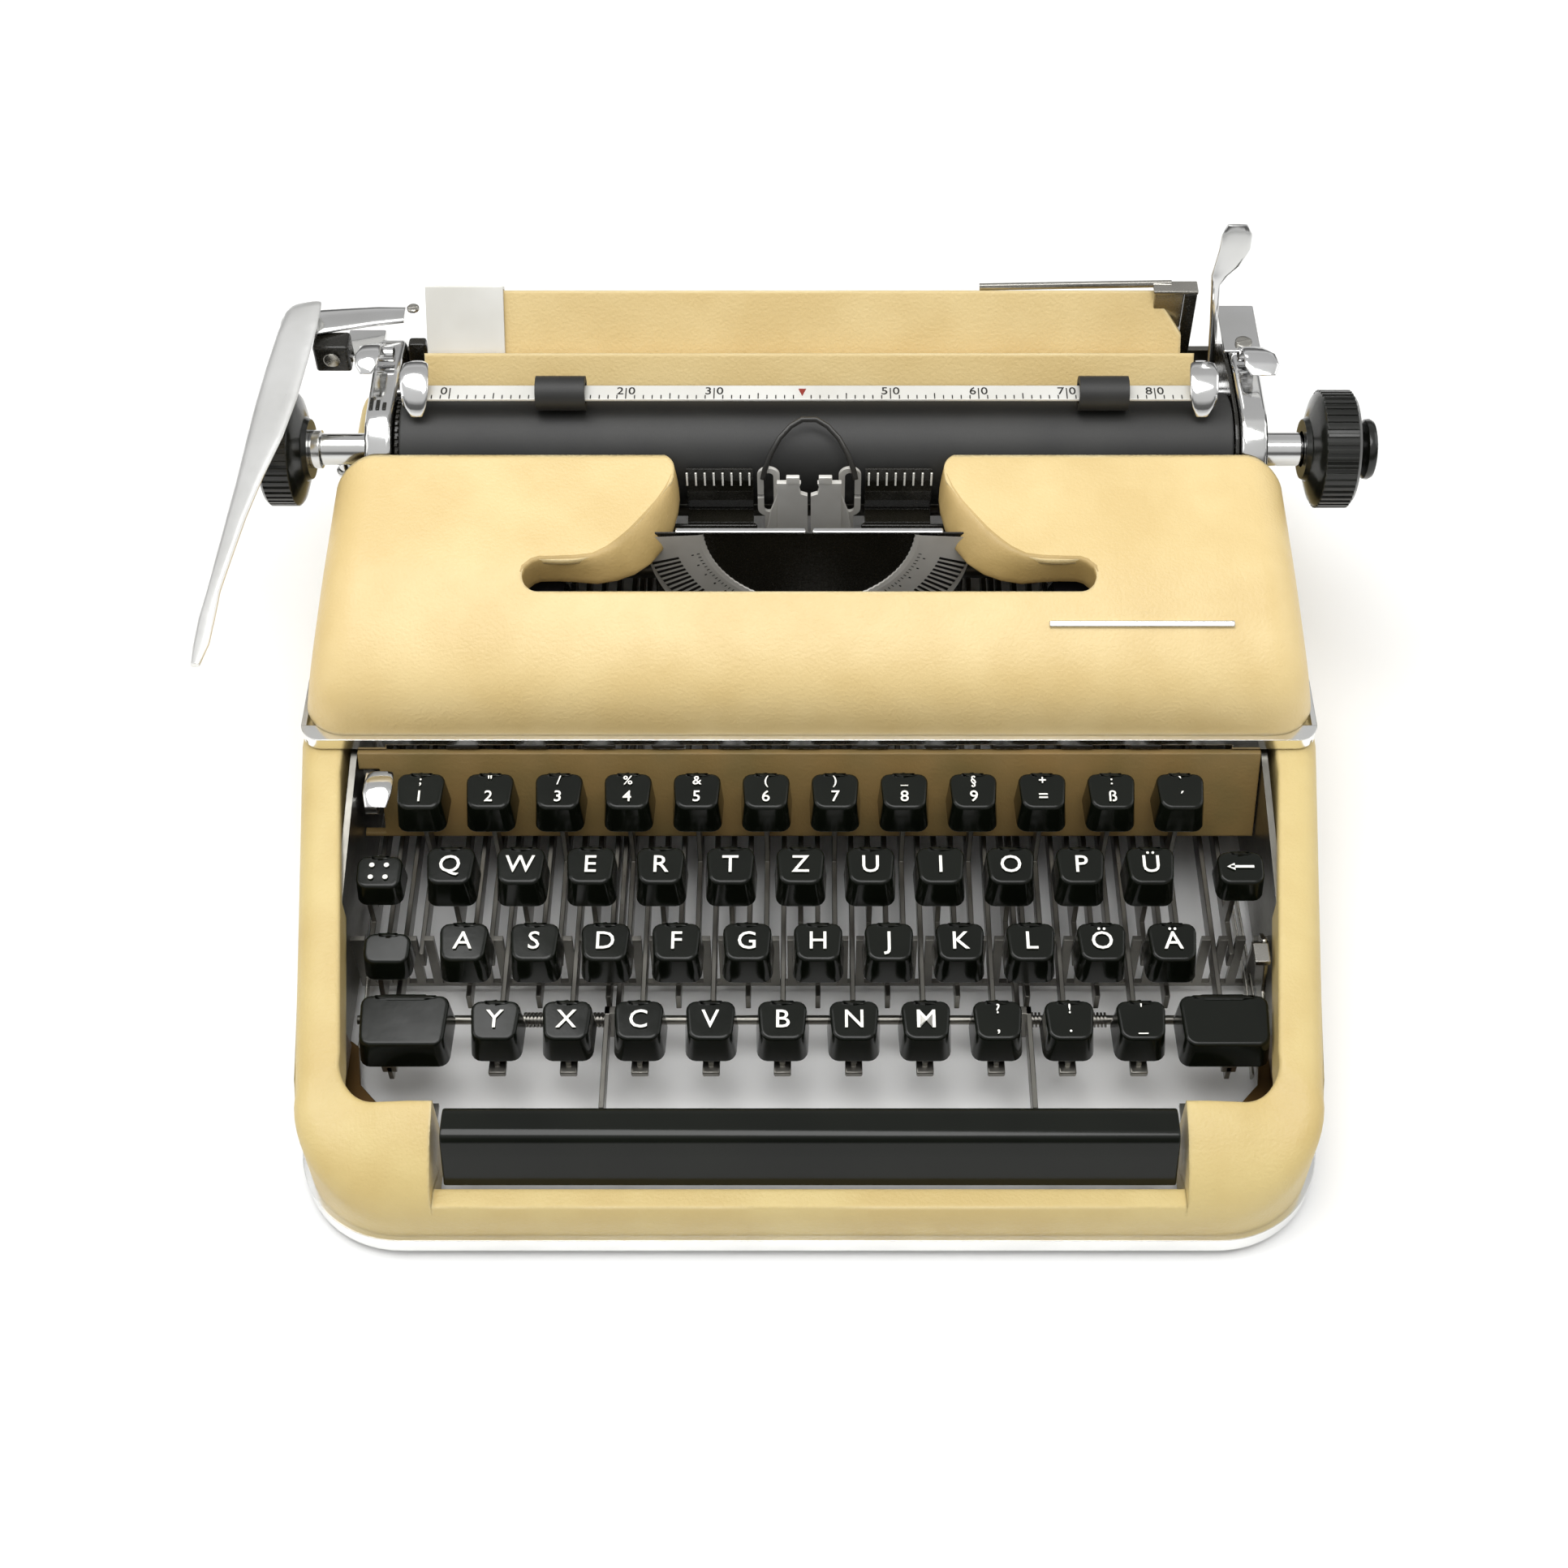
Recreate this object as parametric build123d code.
"""Portable typewriter, modelled in millimetres.

The machine stands on the plane Z = 0. X runs to the typist's right, Y runs away from the typist and Z is up.
The body is symmetric about X = 0. Every separate piece, or group of like pieces, is one STEP file.
"""

from build123d import *
import math
import os

# ---------------------------------------------------------------- driving dimensions
# body plan: a slightly tapered box with round front corners
FRONT_Y = -141.6
REAR_Y = 141.6
HALF_WIDTH = 143.0
FRONT_HALF_WIDTH = 131.0
TAPER_START_Y = -10.0
CORNER_RADIUS = 27.0
SHELL_BOTTOM_Z = 8.5
SHELL_TOP_Z = 52.0
SLOPE_END = (-108.0, 38.0)
SHEET = 2.0
FOOT_PLACES = [(-108.0, -112.0), (108.0, -112.0), (-112.0, 122.0), (112.0, 122.0)]
COVER_LEAN = 14.0
SHOULDER_RADIUS = 12.0
EDGE_RADIUS = 6.0

# keyboard
KEY_PITCH = 19.05
LEVER_PITCH = KEY_PITCH / 4
ROW_Y = [-29.4, -50.2, -71.0, -91.8]
ROW_TOP_Z = [52.6, 46.4, 40.2, 34.0]
ROW_FIRST_X = [-107.15, -107.15 + 2 * LEVER_PITCH, -107.15 + 3 * LEVER_PITCH, -107.15 + 5 * LEVER_PITCH]
KEY_COLUMNS = 11
CAP_WIDTH = 14.6
CAP_DEPTH = 13.6
CAP_HEIGHT = 10.4
SIDE_CAP_HEIGHT = 8.0
LEVER_THICKNESS = 1.4
LEVER_BOTTOM_Z = 17.0
LEVER_TOP_Z = 23.0
PIVOT_Y = 88.0
PIVOT_Z = 20.0
PIVOT_RADIUS = 1.5
PIVOT_CLEARANCE = 0.06
COMB_Y = -60.6
COMB_THICKNESS = 1.5
SPACE_ARM_X = (-107.15 + 11.5 * LEVER_PITCH, -107.15 + 34.5 * LEVER_PITCH)
SPACE_ARM_JOG = (-LEVER_PITCH / 2, LEVER_PITCH / 2)
ARM_DIP_Z = (11.0, 17.4)

# platen and carriage
PLATEN_Y = 72.4
PLATEN_Z = 84.0
PLATEN_RADIUS = 16.0
PLATEN_LEFT = -117.0
PLATEN_RIGHT = 121.0
KNOB_RADIUS = 16.5
BEAM_Y = (100.0, 116.0)
BEAM_Z = (65.0, 75.0)
RACK_PITCH = 2.54
RACK_TEETH = 84
PINION_TEETH = 24
PINION_RADIUS = RACK_PITCH * PINION_TEETH / (2 * math.pi)
RACK_LINE_Y = 104.0
FEED_SHAFT = (79.5, 64.0)
BAIL_PIVOT = (92.0, 88.0)
BAIL_BAR = (72.8, 105.3)

# type basket
PRINT_Y = 56.0
PRINT_Z = 84.0
RING_Y = 38.0
RING_INNER = 29.5
RING_OUTER = 46.0
RING_THICKNESS = 7.0
TYPEBAR_PIVOT_RADIUS = 38.0
TYPEBAR_COUNT = 44
TYPEBAR_STEP = 2.42
TYPEBAR_LENGTH = 40.0
TYPEBAR_REST_TILT = 12.0
TYPEBAR_MOVING = 21
TYPEBAR_THICKNESS = 0.7
TYPEBAR_SLOT = 0.9
RING_END_PLATE = 2.1

os.makedirs("parts", exist_ok=True)
WRITTEN = []


# ---------------------------------------------------------------- helpers
def save(name, *shapes):
    """Writes one node: each shape stays a separate solid."""
    solids = [solid for shape in shapes for solid in shape.solids()]
    export_step(Compound(children=solids), f"parts/{name}.step")
    WRITTEN.append(name)


def box(x0, x1, y0, y1, z0, z1):
    """A box between two corners."""
    return Pos((x0 + x1) / 2, (y0 + y1) / 2, (z0 + z1) / 2) * Box(x1 - x0, y1 - y0, z1 - z0)


def rod_x(x0, x1, y, z, radius):
    """A round bar along X."""
    return Pos((x0 + x1) / 2, y, z) * Rot(0, 90, 0) * Cylinder(radius, x1 - x0)


def rod_y(x, y0, y1, z, radius):
    """A round bar along Y."""
    return Pos(x, (y0 + y1) / 2, z) * Rot(90, 0, 0) * Cylinder(radius, y1 - y0)


def rod_z(x, y, z0, z1, radius):
    """A round bar along Z."""
    return Pos(x, y, (z0 + z1) / 2) * Cylinder(radius, z1 - z0)


def plate_x(points, x0, x1):
    """A plate lying across X: its outline is a closed list of (Y, Z) points."""
    face = make_face(Polyline(*[(x0, y, z) for y, z in points], close=True))
    return extrude(face, x1 - x0, dir=(1, 0, 0))


def plate_y(points, y0, y1):
    """A plate lying across Y: its outline is a closed list of (X, Z) points."""
    face = make_face(Polyline(*[(x, y0, z) for x, z in points], close=True))
    return extrude(face, y1 - y0, dir=(0, 1, 0))


def plate_z(points, z0, z1):
    """A plate lying flat: its outline is a closed list of (X, Y) points."""
    face = make_face(Polyline(*[(x, y, z0) for x, y in points], close=True))
    return extrude(face, z1 - z0, dir=(0, 0, 1))


# ---------------------------------------------------------------- lower shell, trim and feet
def body_outline(inset, z):
    """The body's plan outline as a face, drawn inwards by an inset."""
    half_front = FRONT_HALF_WIDTH - inset
    half = HALF_WIDTH - inset
    front = FRONT_Y + inset
    rear = REAR_Y - inset
    corners = [
        (-half_front, front),
        (half_front, front),
        (half, TAPER_START_Y),
        (half, rear),
        (-half, rear),
        (-half, TAPER_START_Y),
    ]
    face = make_face(Polyline(*[(x, y, z) for x, y in corners], close=True))
    front_corners = face.vertices().group_by(Axis.Y)[0]
    rear_corners = face.vertices().group_by(Axis.Y)[-1]
    face = fillet(front_corners, CORNER_RADIUS - inset)
    rear_corners = face.vertices().group_by(Axis.Y)[-1]
    return fillet(rear_corners, 14 - inset)


def shell_side_profile(inset):
    """The shell's side view: low at the front, level with the cover's trim behind the keyboard."""
    top = SHELL_TOP_Z - inset
    low = SHELL_BOTTOM_Z if inset == 0 else SHELL_BOTTOM_Z - 5
    line = Polyline((0, FRONT_Y - 5, low), (0, REAR_Y + 5, low), (0, REAR_Y + 5, top), (0, TAPER_START_Y, top))
    slope = Line((0, TAPER_START_Y, top), (0, SLOPE_END[0], SLOPE_END[1] - inset))
    nose = Spline(
        (0, SLOPE_END[0], SLOPE_END[1] - inset),
        (0, FRONT_Y + 12 + inset, 32 - inset),
        (0, FRONT_Y + inset * 0.8, 14),
        tangents=[(0, -1, -0.15), (0, -0.05, -1)],
    )
    foot = Polyline((0, FRONT_Y + inset * 0.8, 14), (0, FRONT_Y + inset * 0.8, low), (0, FRONT_Y - 5, low))
    face = make_face([line, slope, nose, foot])
    return Pos(-160, 0, 0) * extrude(face, 320, dir=(1, 0, 0))


def rounded_envelope():
    """A long block with round upper edges that follows the shell's taper and slope."""
    taper = (HALF_WIDTH - FRONT_HALF_WIDTH) / (TAPER_START_Y - FRONT_Y)
    slope_end_half = HALF_WIDTH - taper * (TAPER_START_Y - SLOPE_END[0])
    stations = [
        (REAR_Y + 1, HALF_WIDTH, SHELL_TOP_Z),
        (TAPER_START_Y, HALF_WIDTH, SHELL_TOP_Z),
        (SLOPE_END[0], slope_end_half, SLOPE_END[1]),
        (FRONT_Y - 1, FRONT_HALF_WIDTH + 2, SLOPE_END[1] + 2),
    ]
    faces = []
    for y, half, top in stations:
        outline = [(-half, y, 0), (half, y, 0), (half, y, top), (-half, y, top)]
        face = make_face(Polyline(*outline, close=True))
        faces.append(fillet(face.vertices().group_by(Axis.Z)[-1], EDGE_RADIUS))
    return loft(faces, ruled=True)


def lower_shell():
    outer = extrude(body_outline(-0.05, SHELL_BOTTOM_Z), 60, dir=(0, 0, 1)) & shell_side_profile(0)
    outer = outer & rounded_envelope()
    inner = extrude(body_outline(SHEET, 0), 60, dir=(0, 0, 1)) & shell_side_profile(SHEET)
    opening = plate_z(
        [(-122, -104), (122, -104), (130.5, -21), (130.5, REAR_Y - 12), (-130.5, REAR_Y - 12), (-130.5, -21)], 0, 70
    )
    opening += rounded_opening_front()
    space_bar_bay = plate_z([(-95, -100), (95, -100), (97, -134.5), (-97, -134.5)], 0, 70)
    lip_cut = box(-97, 97, FRONT_Y - 5, -130, 21, 70)
    shell = outer - inner - opening - space_bar_bay - lip_cut
    return shell.solids().sort_by(SortBy.VOLUME)[-1]


def rounded_opening_front():
    """The keyboard opening's front edge, with round inner corners."""
    face = make_face(
        Polyline((-122, -100, 0), (122, -100, 0), (122, -117, 0), (-122, -117, 0), close=True)
    )
    face = fillet(face.vertices().group_by(Axis.Y)[0], 11)
    return extrude(face, 70, dir=(0, 0, 1))


def base_trim():
    """A bright strip that wraps the shell's foot."""
    outer = extrude(body_outline(-1.6, 3.0), 5.5, dir=(0, 0, 1))
    inner = extrude(body_outline(4.0, 2.0), 8, dir=(0, 0, 1))
    return outer - inner


def rubber_feet():
    feet = []
    for x, y in FOOT_PLACES:
        feet.append(rod_z(x, y, 0, 3.0, 8.0) + rod_z(x, y, 3.0, 9.0, 3.0))
    return feet


save("lower_shell", lower_shell())
save("base_trim", base_trim())
save("rubber_feet", *rubber_feet())


# ---------------------------------------------------------------- inner frame
def side_frame(side):
    """A steel side plate, fixed inside the shell's side wall."""
    x0, x1 = sorted((side * 126.6, side * 128.4))
    plate = plate_x([(-96, 8), (136, 8), (136, 50), (-14, 50), (-96, 34)], x0, x1)
    whole = plate + box(x0, x1, -111, -95, 8.2, 22)
    for x, y in FOOT_PLACES:
        if x * side > 0:
            xa, xb = sorted((x - side * 8, side * 128.4))
            depth = 7.5 if y > 0 else 1.0
            tab = box(xa, xb, y - depth, y + 9, 8.2, 9.7) + rod_z(x, y, 8.2, 9.7, 9.0)
            whole += tab - rod_z(x, y, 7, 11, 3.1)
    shaft_hole = rod_x(x0 - 1, x1 + 1, PIVOT_Y, PIVOT_Z, PIVOT_RADIUS + 0.02)
    return whole - shaft_hole


def cross_rods():
    """The key levers' common shaft and three tie rods between the side plates."""
    shaft = rod_x(-129.5, 129.5, PIVOT_Y, PIVOT_Z, PIVOT_RADIUS)
    ties = [rod_x(-126.6, 126.6, y, z, 2.5) for y, z in ((118, 14), (62, 44), (-11.5, 38))]
    return [shaft, *ties]


def key_comb():
    """The slotted plate that keeps the key levers upright."""
    plate = box(-126.6, 126.6, COMB_Y - COMB_THICKNESS / 2, COMB_Y + COMB_THICKNESS / 2, 3.5, 26.5)
    count = round((102.4 + 107.15) / LEVER_PITCH) + 1
    places = [-107.15 + LEVER_PITCH * n for n in range(-3, count + 4)]
    slots = [box(x - 1.1, x + 1.1, COMB_Y - 3, COMB_Y + 3, 5.0, 30) for x in places]
    slots += [box(x - 0.9, x + 0.9, COMB_Y - 3, COMB_Y + 3, 5.0, 30) for x in SPACE_ARM_X]
    return plate - slots


def keyboard_back_plate():
    """The painted panel behind the number row."""
    section = [(-15.5, 51.5), (-13.8, 51.5), (-24.0, 27.0), (-25.9, 27.0)]
    return plate_x(section, -126.2, 126.2) - box(-126.5, -120.4, -32, -10, 28, 47)


save("side_frames", side_frame(-1), side_frame(1))
save("cross_rods", *cross_rods())
save("key_comb", key_comb())
save("keyboard_back_plate", keyboard_back_plate())


# ---------------------------------------------------------------- keys
def key_cap(width, depth, height, x, y, top_z):
    """A moulded cap: wide at its foot, with a smaller dished top that leans to the typist."""
    foot = RectangleRounded(width, depth, 2.6)
    top = RectangleRounded(width - 2.0, depth - 2.2, 2.8)
    body = loft([Pos(0, 0, -height) * foot, Pos(0, 0.3, 0) * Rot(4, 0, 0) * top])
    return Pos(x, y, top_z) * body


def key_lever(x, y_stem, z_stem_top, y_front, bottom=LEVER_BOTTOM_Z, stem_width=5.0):
    """A flat steel lever on the common shaft, with a stem that rises into the cap."""
    top = LEVER_TOP_Z
    points = [
        (PIVOT_Y + 5, bottom),
        (PIVOT_Y + 5, top),
        (y_stem + stem_width / 2, top),
        (y_stem + stem_width / 2, z_stem_top),
        (y_stem - stem_width / 2, z_stem_top),
    ]
    if y_front < y_stem - stem_width:
        points += [(y_stem - stem_width / 2, top), (y_front, top), (y_front, bottom)]
    else:
        points += [(y_front, bottom + 2), (y_front, bottom)]
    half = LEVER_THICKNESS / 2
    bar = plate_x(points, x - half, x + half)
    return bar - rod_x(x - 2, x + 2, PIVOT_Y, PIVOT_Z, PIVOT_RADIUS + PIVOT_CLEARANCE)


def typing_key(row, column):
    """One letter key: its cap and its lever, as two solids."""
    x = ROW_FIRST_X[row] + KEY_PITCH * column
    cap_bottom = ROW_TOP_Z[row] - CAP_HEIGHT
    cap = key_cap(CAP_WIDTH, CAP_DEPTH, CAP_HEIGHT, x, ROW_Y[row], ROW_TOP_Z[row])
    front = COMB_Y - 3.0 if row < 2 else ROW_Y[row] - 6.5
    return [cap, key_lever(x, ROW_Y[row], cap_bottom, front)]


def key_column(number):
    """The four keys that one key_column body carries."""
    if number < KEY_COLUMNS - 1:
        places = [(row, number) for row in range(4)]
    else:
        places = [(0, number), (0, number + 1), (1, number), (2, number)]
    return [solid for row, column in places for solid in typing_key(row, column)]


for column in range(KEY_COLUMNS):
    save(f"key_column_{column + 1:02d}", *key_column(column))


def side_key(x, lever_x, row, width, depth, front, drop=0.0, height=SIDE_CAP_HEIGHT):
    """A control key at the end of a row."""
    top_z = ROW_TOP_Z[row] - drop
    cap = key_cap(width, depth, height, x, ROW_Y[row], top_z)
    return [cap, key_lever(lever_x, ROW_Y[row], top_z - height, front)]


LEFT_LEVER = -107.15 - LEVER_PITCH
RIGHT_LEVER = 102.4 + 2 * LEVER_PITCH
save("shift_key_left", *side_key(-107.6, LEFT_LEVER, 3, 25.0, 17.0, ROW_Y[3] - 8, 0, CAP_HEIGHT))
save("shift_key_right", *side_key(110.4, RIGHT_LEVER, 3, 25.0, 17.0, ROW_Y[3] - 8, 0, CAP_HEIGHT))
save("shift_lock_key", *side_key(-113.8, LEFT_LEVER - LEVER_PITCH, 2, 13.8, 11.0, ROW_Y[2] - 5, 3.0))
save("margin_release_key", *side_key(-117.4, LEFT_LEVER - 2 * LEVER_PITCH, 1, 13.6, 12.0, COMB_Y - 3, 3.0))
save("backspace_key", *side_key(117.6, RIGHT_LEVER + LEVER_PITCH, 1, 13.8, 12.0, COMB_Y - 3, 1.0))


def space_bar():
    """The long bar and its two arms, each welded up from five strips."""
    section = [(-118.6, 35.2), (-120.2, 36.2), (-127.0, 34.6), (-128.6, 33.0)]
    section += [(-133.0, 21.6), (-131.6, 20.6), (-118.6, 20.6)]
    bar = plate_x(section, -94.2, 94.6)
    arms = []
    half = LEVER_THICKNESS / 2
    for x, jog in zip(SPACE_ARM_X, SPACE_ARM_JOG):
        rear = box(x - half, x + half, COMB_Y - 3, PIVOT_Y + 5, LEVER_BOTTOM_Z, LEVER_TOP_Z)
        step = box(x - half, x + half, COMB_Y - 3.4, COMB_Y - 2, ARM_DIP_Z[0], LEVER_TOP_Z)
        dip = box(x - half, x + half, -80.5, COMB_Y - 3.4, *ARM_DIP_Z)
        link = box(min(x, x + jog) - half, max(x, x + jog) + half, -83, -80.5, ARM_DIP_Z[0], LEVER_TOP_Z)
        tip = [(-83, 17), (-83, 23), (-112, 23), (-118.6, 28), (-118.6, 22), (-112, 17)]
        front = plate_x(tip, x + jog - half, x + jog + half)
        shaft_hole = rod_x(x - 2, x + 2, PIVOT_Y, PIVOT_Z, PIVOT_RADIUS + PIVOT_CLEARANCE)
        arms += [rear - shaft_hole, step, dip, link, front]
    return [bar, *arms]


save("space_bar", *space_bar())


def ribbon_selector():
    """A bright lever beside the number row that picks the ribbon's colour."""
    stem = plate_x([(-24, 38), (-20, 38), (-21, 50), (-25, 50)], -123.4, -122.2)
    tab = plate_x([(-33, 50), (-20.5, 50), (-20.5, 51.4), (-33, 51.4)], -123.4, -115.5)
    hub = rod_x(-125.2, -121.6, -22, 37, 3.0)
    return stem + tab + hub - rod_x(-130, -118, -22, 37, 1.2)


save("ribbon_selector", ribbon_selector())


# ---------------------------------------------------------------- type basket
def segment_blank(inner, outer, y0, y1):
    """A half ring across Y, open at the top, centred on the printing axis."""
    ring = rod_y(0, y0, y1, PRINT_Z, outer) - rod_y(0, y0 - 1, y1 + 1, PRINT_Z, inner)
    return ring - box(-80, 80, y0 - 1, y1 + 1, PRINT_Z - 3.5, PRINT_Z + 80)


def typebar_frame(number):
    """Turns a shape drawn in the YZ plane, for the lowest bar, to a bar's place on the ring."""
    angle = TYPEBAR_STEP * (number - TYPEBAR_MOVING)
    return Pos(0, 0, PRINT_Z) * Rot(0, angle, 0) * Pos(0, 0, -PRINT_Z)


def typebar(number):
    """One flat bar that lies in its slot with its head towards the typist."""
    tilt = math.radians(TYPEBAR_REST_TILT)
    pivot_z = PRINT_Z - TYPEBAR_PIVOT_RADIUS
    length = TYPEBAR_LENGTH
    y_dir, z_dir = -math.cos(tilt), math.sin(tilt)

    def place(along, across):
        return (RING_Y + y_dir * along + z_dir * across, pivot_z + z_dir * along - y_dir * across)

    neck = length - 4
    corners = [(0, -1.6), (neck, -1.3), (neck, -2.2), (length, -2.2), (length, 3.4), (neck, 3.4)]
    corners += [(neck, 1.3), (0, 1.6)]
    half = TYPEBAR_THICKNESS / 2
    bar = plate_x([place(*corner) for corner in corners], -half, half) + rod_x(-half, half, RING_Y, pivot_z, 1.6)
    return typebar_frame(number) * bar


def typebar_segment():
    """The slotted steel half ring that the typebars hang in, on its cross plate."""
    ring = segment_blank(RING_INNER, RING_OUTER, RING_Y - RING_THICKNESS / 2, RING_Y + RING_THICKNESS / 2)
    ring += box(-126.6, 126.6, RING_Y + 2.9, RING_Y + 4.9, PRINT_Z - 50, PRINT_Z - 38)
    half = TYPEBAR_SLOT / 2
    for x in (-RING_OUTER + 8, RING_OUTER - 8):
        behind = RING_Y - RING_THICKNESS / 2 + RING_END_PLATE
        ring -= box(x - 10, x + 10, behind, RING_Y + 9, PRINT_Z - 15, PRINT_Z)
    for number in range(TYPEBAR_COUNT):
        slot = box(-half, half, RING_Y - 6, RING_Y + 2.8, PRINT_Z - RING_OUTER + 3, PRINT_Z - RING_INNER + 1)
        slot += box(-half, half, RING_Y, RING_Y + 6, PRINT_Z - 37.5, PRINT_Z - RING_INNER + 1)
        ring -= typebar_frame(number) * slot
    return ring.solids().sort_by(SortBy.VOLUME)[-1]


def type_rest():
    """The padded half ring that the typebars' heads lie on."""
    ring = segment_blank(33.2, 37.0, -1.5, 4.5)
    legs = [box(x - 2, x + 2, -1.5, 4.5, 41, 57) for x in (-34, 34)]
    feet = [box(x - 2, x + 2, 4.5, 36, 41, 43) for x in (-34, 34)]
    return ring - box(-80, 80, -10, 10, PRINT_Z - 20, PRINT_Z + 10) + legs + feet


save("typebar_segment", typebar_segment())
save("typebars", *[typebar(n) for n in range(TYPEBAR_COUNT) if n != TYPEBAR_MOVING])
save("typebar_centre", typebar(TYPEBAR_MOVING))
save("type_rest", type_rest())


def type_guide():
    """The slotted plate at the printing point, and the split post that it stands on."""
    plate = box(-9.2, 9.2, 50.4, 51.9, 66, 92) - rod_y(0, 49, 53, 88.5, 2.6)
    post = box(-7, 7, 46.0, 51.9, 50, 68)
    foot = box(-7, 7, 46.0, 66, 46.6, 50)
    return plate + post + foot - box(-1.0, 1.0, 40, 53, 50, 95)


GAUGE_RADII = (17.4, 18.4)
GAUGE_STARTS = (-43.0, -20.0, 3.0)
GAUGE_STEP = 23.0


def gauge_strip(low, high, x0, x1):
    """One flat facet pair of the gauge plate, between two angles above the platen's centre line."""
    outline = []
    for radius, angles in zip(GAUGE_RADII, ((low, (low + high) / 2, high), (high, (low + high) / 2, low))):
        for angle in angles:
            turn = math.radians(angle)
            outline.append((PLATEN_Y - radius * math.cos(turn), PLATEN_Z + radius * math.sin(turn)))
    return plate_x(outline, x0, x1)


def line_gauge():
    """Two dark plates that hug the platen's front, with their screwed brackets."""
    pieces = []
    for side in (-1, 1):
        x0, x1 = sorted((side * 16.0, side * 35.0))
        pieces += [gauge_strip(low, low + GAUGE_STEP, x0, x1) for low in GAUGE_STARTS]
        bracket = box(x0, x1, 50.5, 52.6, 62, 76) + box(x0, x1, 50.5, 56.5, 74.5, 76)
        leg = box(x0, x1, 50.5, 64, 60.5, 62) + box(x0, x0 + 4, 62.2, 64, 46.6, 62)
        screws = [rod_y(x, 49.6, 50.5, 70, 2.2) for x in (x0 + 4.5, x1 - 4.5)]
        pieces += [bracket + leg, *screws]
    return pieces


def card_wire():
    """The sprung wire arch that holds a card against the platen, with its ends in the type guide."""
    half = [(-6.6, 51.2, 91.5), (-7.3, 54.4, 97.5), (-4.8, 60.2, 101.6), (0, 64.3, 103.4)]
    path = Spline(*half, *[(-x, y, z) for x, y, z in reversed(half[:-1])])
    tip = Plane(origin=path @ 0, z_dir=path % 0)
    return sweep(tip * Circle(0.6), path)


def ribbon_vibrator():
    """The lifter with two open loops that carries the ribbon up past the type guide."""
    y = 54.5
    whole = box(-12.8, 12.8, y - 0.5, y + 0.5, 64, 67) + box(-3, 3, y - 0.5, y + 0.5, 51, 66)
    for side in (-1, 1):
        loop = Pos(side * 11.6, y, 84.5) * Rot(90, 0, 0) * extrude(SlotOverall(19, 6.4, rotation=90), 0.5, both=True)
        gap = Pos(side * 11.6, y, 84.5) * Rot(90, 0, 0) * extrude(SlotOverall(15.4, 2.8, rotation=90), 2, both=True)
        mouth = box(min(side * 12, side * 16), max(side * 12, side * 16), 50, 60, 82.4, 83.6)
        leg = box(side * 11.6 - 1.2, side * 11.6 + 1.2, y - 0.5, y + 0.5, 64, 76.5)
        whole = whole + leg + (loop - gap - mouth)
    return whole


save("type_guide", type_guide(), card_wire())
save("line_gauge", *line_gauge())
save("ribbon_vibrator", ribbon_vibrator())


# ---------------------------------------------------------------- ribbon spools
SPOOL_X = 90.0
SPOOL_Y = 28.0


def ribbon_spool(side):
    """A flanged spool with its wound ribbon."""
    x = side * SPOOL_X
    hub = rod_z(x, SPOOL_Y, 63.0, 72.4, 14.0)
    flanges = rod_z(x, SPOOL_Y, 62.2, 63.0, 20.5) + rod_z(x, SPOOL_Y, 72.4, 73.2, 20.5)
    return hub + flanges - rod_z(x, SPOOL_Y, 60, 75, 2.06)


def spool_cup(side):
    """The dish that a spool turns in, with its spindle and its post on the side plate."""
    x = side * SPOOL_X
    dish = rod_z(x, SPOOL_Y, 58.5, 70.0, 23.5) - rod_z(x, SPOOL_Y, 60.0, 71.0, 22.2)
    mouth = box(min(x, x - side * 30), max(x, x - side * 30), SPOOL_Y + 4, SPOOL_Y + 16, 60.0, 71.0)
    spindle = rod_z(x, SPOOL_Y, 58.5, 75.0, 2.0)
    arm = box(min(x, side * 126.6), max(x, side * 126.6), SPOOL_Y - 6, SPOOL_Y + 6, 57.0, 58.5)
    post = box(min(side * 124.6, side * 126.6), max(side * 124.6, side * 126.6), SPOOL_Y - 6, SPOOL_Y + 6, 40.0, 58.5)
    return dish - mouth + spindle + arm + post


save("ribbon_spool_left", ribbon_spool(-1))
save("ribbon_spool_right", ribbon_spool(1))
save("spool_cups", spool_cup(-1), spool_cup(1))


# ---------------------------------------------------------------- top cover
def cover_profile(inset):
    """The cover's side view, from its trim at the front, over the brow, to the edge above the platen."""
    low = SHELL_TOP_Z + 4.2 if inset == 0 else SHELL_TOP_Z - 10
    front = -12.6 + inset
    brow = Spline(
        (0, front, low),
        (0, -5.2 + inset * 0.8, 73.2 - inset * 0.5),
        (0, 14.0, 84.6 - inset),
        (0, 59.5, 95.6 - inset),
        tangents=[(0, 0.1, 1), (0, 1, 0.2)],
    )
    frame = Polyline((0, 59.5, 95.6 - inset), (0, 59.5, low), (0, front, low))
    return Pos(-160, 0, 0) * extrude(make_face([brow, frame]), 320, dir=(1, 0, 0))


def cover_front_view(inset):
    """The cover's front view: sides that lean in towards the top."""
    half = HALF_WIDTH + 1.4 - inset
    top = half - COVER_LEAN
    face = make_face(Polyline((-half, -30, 40), (half, -30, 40), (top, -30, 110), (-top, -30, 110), close=True))
    return extrude(face, 120, dir=(0, 1, 0))


def cover_body(inset):
    body = cover_profile(inset) & cover_front_view(inset)
    shoulders = [e for e in body.edges() if abs(e.center().X) > 120 and e.geom_type == GeomType.BSPLINE]
    return fillet(shoulders, SHOULDER_RADIUS - inset)


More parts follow.
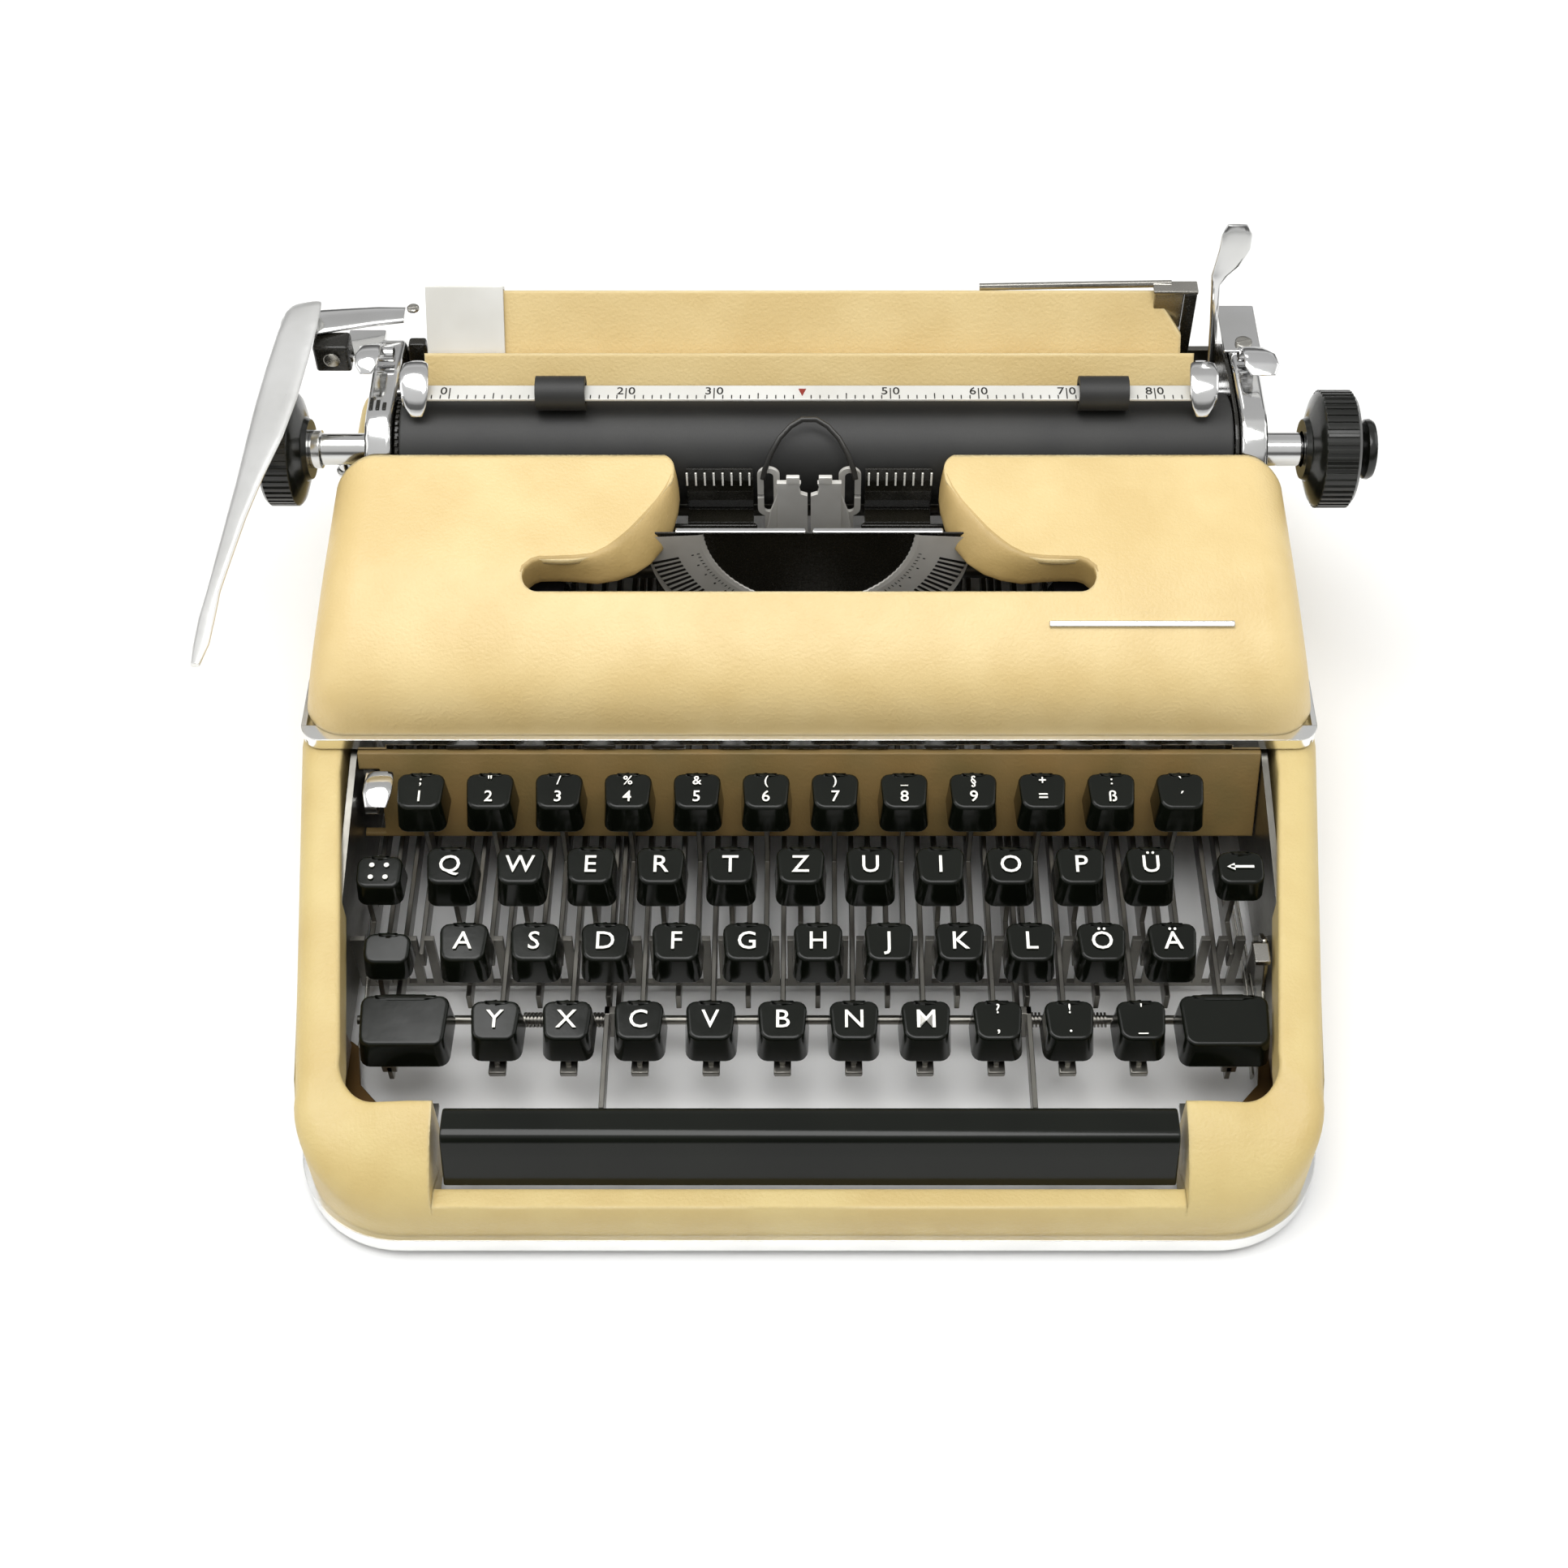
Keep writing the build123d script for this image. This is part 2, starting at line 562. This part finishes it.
def cover_opening():
    """The type opening: a slot across the front that widens into a throat towards the platen."""
    z = 40
    front_y = 15.0
    line = Polyline((-75.0, front_y, z), (75.0, front_y, z))
    end_right = ThreePointArc((75.0, front_y, z), (79.5, front_y + 4.5, z), (75.0, front_y + 9.0, z))
    end_left = ThreePointArc((-75.0, front_y, z), (-79.5, front_y + 4.5, z), (-75.0, front_y + 9.0, z))
    side_right = Spline(
        (75.0, front_y + 9.0, z), (60.0, 25.0, z), (46.2, 37.5, z), (39.4, 48.0, z), (38.2, 53.5, z),
        tangents=[(-1, -0.1, 0), (0, 1, 0)],
    )
    tip_right = ThreePointArc((38.2, 53.5, z), (39.6, 57.1, z), (43.2, 58.6, z))
    side_left, tip_left = mirror(side_right, Plane.YZ), mirror(tip_right, Plane.YZ)
    back = Polyline((-43.2, 58.6, z), (-43.2, 70.0, z), (43.2, 70.0, z), (43.2, 58.6, z))
    face = make_face([line, end_right, side_right, tip_right, back, tip_left, side_left, end_left])
    return extrude(face, 80, dir=(0, 0, 1))


def top_cover():
    outer = cover_body(0)
    inner = cover_body(1.6)
    behind = rod_x(-170, 170, PLATEN_Y, PLATEN_Z, 18.2) + box(-170, 170, 54.4, 120, 30, PLATEN_Z)
    shell = outer - inner - cover_opening() - behind
    return shell.solids().sort_by(SortBy.VOLUME)[-1]


def cover_trim():
    """The bright strip under the cover's front edge, with a taller cap round each corner."""
    half = HALF_WIDTH - 1.0
    caps = box(-half, half, -14.4, 8.0, 52.3, 56.0) - box(-half + 1.5, half - 1.5, -12.9, 20, 50, 60)
    caps = caps - box(-118, 118, -20, 20, 50, 60)
    strip = box(-half, half, -14.4, -9.0, 54.0, 56.1)
    corners = box(-half, half, -14.4, 8.0, 50, 60)
    corners = fillet(corners.edges().filter_by(Axis.Z).group_by(Axis.Y)[0], 6)
    return (caps + strip) & corners


save("top_cover", top_cover())
save("cover_trim", cover_trim())


# ---------------------------------------------------------------- carriage bed, escapement and mainspring
def carriage_bed():
    """The fixed bridge that the carriage rides on, with four shoes that hold its grooves."""
    bed = box(-126.6, 126.6, 92, 126, 50.4, 53.0) - rod_z(0, RACK_LINE_Y + PINION_RADIUS, 48, 55, 1.56)
    shoes = []
    for x in (-14.4, 16.0):
        front = box(x - 3.5, x + 3.5, 94.5, 99.5, 53.0, 72.0) + box(x - 3.5, x + 3.5, 99.5, 101.5, 69.0, 71.0)
        rear = box(x - 3.5, x + 3.5, 116.5, 121.5, 53.0, 72.0) + box(x - 3.5, x + 3.5, 114.5, 116.5, 69.0, 71.0)
        shoes += [front, rear]
    for shoe in shoes:
        bed = bed + shoe
    return bed


def gear_outline(teeth, pitch_radius, tooth, root, tip_width, root_width):
    """A plain gear outline of straight-sided teeth with room to run."""
    points = []
    for n in range(teeth):
        middle = 2 * math.pi * n / teeth
        for radius, width in ((root, -root_width), (tooth, -tip_width), (tooth, tip_width), (root, root_width)):
            angle = middle + width / 2 / pitch_radius
            points.append((radius * math.cos(angle), radius * math.sin(angle)))
    return points


def escapement_wheel():
    """The pinion that runs on the rack, with the toothed wheel on its arbor."""
    y = RACK_LINE_Y + PINION_RADIUS
    outline = gear_outline(PINION_TEETH, PINION_RADIUS, PINION_RADIUS + 0.75, PINION_RADIUS - 1.0, 0.5, 1.1)
    pinion = plate_z(outline, 61.4, 64.2)
    turned = Rot(0, 0, -90) * pinion
    wheel_outline = gear_outline(24, 12.0, 13.0, 11.0, 0.4, 2.2)
    wheel = plate_z(wheel_outline, 44.0, 45.6)
    arbor = rod_z(0, 0, 40, 61.4, 1.5)
    return Pos(0, y, 0) * (turned + wheel + arbor)


def mainspring_drum():
    drum = rod_z(-98, 106, 36, 48, 20) - rod_z(-98, 106, 38, 46, 30) + rod_z(-98, 106, 37.8, 46.2, 17.5)
    return drum - rod_z(-98, 106, 30, 50, 2.06)


def bell():
    """A steel gong on its post."""
    dome = Pos(96, 106, 36) * Sphere(13) & box(80, 112, 90, 122, 36, 60)
    hollow = Pos(96, 106, 36) * Sphere(11.8) & box(80, 112, 90, 122, 35, 60)
    post = rod_z(96, 106, 26, 49, 1.4)
    arm = box(96, 126.6, 103, 109, 26, 27.5)
    return [dome - hollow - rod_z(96, 106, 40, 60, 1.4), post + arm]


save("carriage_bed", carriage_bed(), rod_z(-98, 106, 30, 49.5, 2.0) + box(-126.6, -96, 103, 109, 28.5, 30.0))
save("escapement_wheel", escapement_wheel())
save("mainspring_drum", mainspring_drum())
save("bell", *bell())


# ---------------------------------------------------------------- carriage
def end_plate(x0, x1):
    """A cast end plate, shaped round the platen's front so that it clears the line gauge."""
    body = plate_x([(PLATEN_Y, 60), (118, 60), (118, 86), (104, 98), (88, 101), (PLATEN_Y, 100)], x0, x1)
    nose = rod_x(x0, x1, PLATEN_Y, PLATEN_Z, 16.2)
    bore = rod_x(x0 - 1, x1 + 1, PLATEN_Y, PLATEN_Z, 4.06)
    return body + nose - bore - rod_x(x0 - 1, x1 + 1, *FEED_SHAFT, 1.56)


def carriage_frame():
    """Two end plates on a grooved beam, with the margin rail and the lever's bracket."""
    beam = box(-119, 123, *BEAM_Y, *BEAM_Z)
    beam -= box(-130, 130, 99, 102, 68.5, 71.5)
    beam -= box(-130, 130, 114, 117, 68.5, 71.5)
    bracket = box(-152, -127, 96, 112, 97.0, 103.0) + rod_z(-150, 104, 97.0, 112.4, 3.0)
    margin_rail = box(-119, 123, 113.2, 115.2, 80.0, 86.0)
    left = end_plate(-127, -119) + bracket
    right = end_plate(123, 131)
    return [left, right, beam, margin_rail]


def escapement_rack():
    """The toothed bar under the beam."""
    bar = box(-112, 112, 100.2, RACK_LINE_Y - 1.1, 60.8, 65.0)
    teeth = []
    for n in range(RACK_TEETH):
        x = (n - (RACK_TEETH - 1) / 2) * RACK_PITCH
        root = RACK_LINE_Y - 1.2
        tip = RACK_LINE_Y + 0.8
        teeth.append(plate_z([(x - 0.85, root), (x + 0.85, root), (x + 0.3, tip), (x - 0.3, tip)], 60.8, 65.0))
    return bar + teeth


def platen():
    """The rubber roller, its ratchet wheel and its shaft."""
    roller = rod_x(PLATEN_LEFT, PLATEN_RIGHT, PLATEN_Y, PLATEN_Z, PLATEN_RADIUS)
    roller -= rod_x(-130, 130, PLATEN_Y, PLATEN_Z, 4.0)
    ratchet = rod_x(-118.8, -117.0, PLATEN_Y, PLATEN_Z, 14.5) - rod_x(-130, -110, PLATEN_Y, PLATEN_Z, 4.0)
    shaft = rod_x(-158, 158, PLATEN_Y, PLATEN_Z, 4.0) - rod_x(146, 160, PLATEN_Y, PLATEN_Z, 2.06)
    return [roller, ratchet, shaft]


def platen_knob(x0, x1):
    """A grip knob that is pressed on the platen's shaft."""
    knob = rod_x(x0, x1, PLATEN_Y, PLATEN_Z, KNOB_RADIUS)
    knob = chamfer(knob.edges().filter_by(GeomType.CIRCLE), 1.6)
    return knob - rod_x(x0 - 1, x1 + 1, PLATEN_Y, PLATEN_Z, 4.0)


def spacer_button():
    """The button in the right knob that frees the platen from its ratchet."""
    stem = rod_x(146.4, 159, PLATEN_Y, PLATEN_Z, 2.0)
    neck = rod_x(158.3, 160.4, PLATEN_Y, PLATEN_Z, 5.0)
    button = rod_x(160.4, 164.4, PLATEN_Y, PLATEN_Z, 8.8)
    return stem + neck + fillet(button.edges().filter_by(GeomType.CIRCLE), 1.5)


save("carriage_frame", *carriage_frame())
save("escapement_rack", escapement_rack())
save("platen", *platen())
save("platen_knob_left", platen_knob(-158, -145))
save("platen_knob_right", platen_knob(143.5, 158))
save("spacer_button", spacer_button())


def feed_rollers():
    """The pressure rollers under the platen, on their common shaft."""
    rollers = [rod_x(x - 22, x + 22, *FEED_SHAFT, 5.0) for x in (-78, -26, 30, 82)]
    return rod_x(-127, 131, *FEED_SHAFT, 1.5) + rollers


def paper_table():
    """The painted sheet that turns the paper up behind the platen, with a flange on the beam."""
    section = [(89.2, 76.2), (89.2, 75.0), (111.0, 75.0), (111.0, 76.2), (90.4, 76.2)]
    section += [(91.2, 92.0), (96.4, 99.4), (95.4, 100.4), (89.8, 92.6)]
    return plate_x(section, -112.5, 112.5)


SUPPORT_FOOT = (98.2, 93.0)
SUPPORT_LENGTH = 21.8
SUPPORT_LEAN = math.atan2(17.4, 13.1)


def on_support(along, out):
    """A point near the paper support: its distance up the sheet, and out of the sheet's front face."""
    y = SUPPORT_FOOT[0] + along * math.cos(SUPPORT_LEAN) - out * math.sin(SUPPORT_LEAN)
    z = SUPPORT_FOOT[1] + along * math.sin(SUPPORT_LEAN) + out * math.cos(SUPPORT_LEAN)
    return (y, z)


def paper_support():
    """The painted upper sheet that the paper leans on, on two brackets, with one corner cut away."""
    corners = [(0, 0), (SUPPORT_LENGTH, 0), (SUPPORT_LENGTH, -1.4), (0, -1.4)]
    sheet = plate_x([on_support(*corner) for corner in corners], -112.0, 109.5)
    sheet -= plate_y([(99.5, 112), (112, 112), (112, 97)], 95, 120)
    for x in (-99, 91):
        sheet += box(x - 2, x + 2, 103.0, 104.6, 76.2, 98.8)
    return sheet


def paper_side_guide():
    """The bright sleeve that slides along the paper support to set the sheet's left edge."""
    top = SUPPORT_LENGTH + 0.4
    corners = [(1.5, 0.4), (top, 0.4), (top, -1.8), (17, -1.8)]
    corners += [(17, -2.6), (top + 0.8, -2.6), (top + 0.8, 1.2), (1.5, 1.2)]
    return plate_x([on_support(*corner) for corner in corners], -112.4, -89.6)


save("feed_rollers", feed_rollers())
save("paper_table", paper_table())
save("paper_support", paper_support())
save("paper_side_guide", paper_side_guide())


def bail_bar():
    """The scale bar across the platen and its two arms."""
    y, z = BAIL_BAR
    bar = box(-114.0, 114.0, y - 2.9, y + 2.9, z - 0.4, z + 0.4)
    py, pz = BAIL_PIVOT
    outline = [(y - 3.4, z - 2.4), (y + 4, z - 3.0), (py + 2.6, pz - 1.8)]
    outline += [(py + 2.6, pz + 4), (y + 6.0, z + 3.2), (y - 3.4, z + 2.0)]
    arms = []
    for x0, x1, end in ((-115.6, -114.0, -118.9), (114.0, 115.6, 122.9)):
        arm = plate_x(outline, x0, x1) + rod_x(x0, x1, py, pz, 3.4)
        arms.append(arm + rod_x(min(x0, end), max(x1, end), py, pz, 1.5))
    return [bar, *arms]


def bail_roller(x):
    """A rubber roller that holds the paper to the platen."""
    y, z = BAIL_BAR
    roller = rod_x(x - 7, x + 7, y, z, 4.9)
    return roller - rod_x(x - 8, x + 8, y, z, 3.1)


save("bail_bar", *bail_bar())
save("bail_roller_left", bail_roller(-70.6))
save("bail_roller_right", bail_roller(83.6))


# ---------------------------------------------------------------- carriage levers and stops
def line_space_lever():
    """The long return lever: a hub over its post and a blade that reaches forward beside the body."""
    hub = rod_z(-150, 104, 103.4, 111.6, 6.0) - rod_z(-150, 104, 100, 114, 3.06)
    plan = [(-155.5, 108), (-144.5, 108), (-146.5, 60), (-153.0, 30), (-158.2, -4)]
    plan += [(-160.0, -18), (-164.4, -17), (-162.6, 0), (-159.0, 36), (-157.0, 70)]
    under = [(108, 111.6), (108, 108.8), (60, 103.4), (20, 98.4), (-20, 91.4)]
    blade_profile = plate_x(under + [(-20, 93.6), (20, 100.8), (60, 106.0)], -170, -140)
    blade = plate_z(plan, 85, 120) & blade_profile
    return hub + (blade - rod_z(-150, 104, 100, 120, 3.06))


def paper_release_lever():
    """The tall lever behind the right end of the platen that frees the paper."""
    stem = plate_x([(94.6, 82), (101.4, 82), (104.6, 124), (102.2, 124)], 118.2, 119.8)
    hub = rod_x(118.2, 122.8, 98, 84, 4.0)
    spoon = plate_x([(101.4, 122), (104.4, 122), (108.0, 137.0), (106.0, 138.0)], 118.2, 127.0)
    return stem + hub + spoon - rod_x(117, 124, 98, 84, 1.56)


def carriage_release(side, x0, x1):
    """A thumb lever on an end plate that frees the carriage."""
    hub = rod_x(x0, x1, 92, 102.9, 2.2)
    tab_x0, tab_x1 = sorted((x1 if side > 0 else x0, (x1 + 8) if side > 0 else (x0 - 3)))
    outline = [(88.0, 103.4), (92.0, 104.4), (92.0, 106.2), (82.5, 106.8), (82.5, 105.4)]
    tab = plate_x(outline, min(x0, tab_x0), max(x1, tab_x1))
    return hub + tab


def margin_stop(x):
    """A sprung block that slides on the margin rail."""
    block = box(x - 5, x + 5, 111.0, 117.4, 77.4, 89.0) - box(x - 6, x + 6, 112.9, 115.5, 79.7, 86.3)
    tab = box(x - 2.5, x + 2.5, 116.6, 122.0, 87.6, 89.0)
    return block + tab


save("line_space_lever", line_space_lever())
save("paper_release_lever", paper_release_lever())
save("carriage_release_left", carriage_release(-1, -126.5, -120.5))
save("carriage_release_right", carriage_release(1, 124.5, 130.5))
save("margin_stop_left", margin_stop(-84.0))
save("margin_stop_right", margin_stop(84.0))

print(len(WRITTEN), "nodes written")
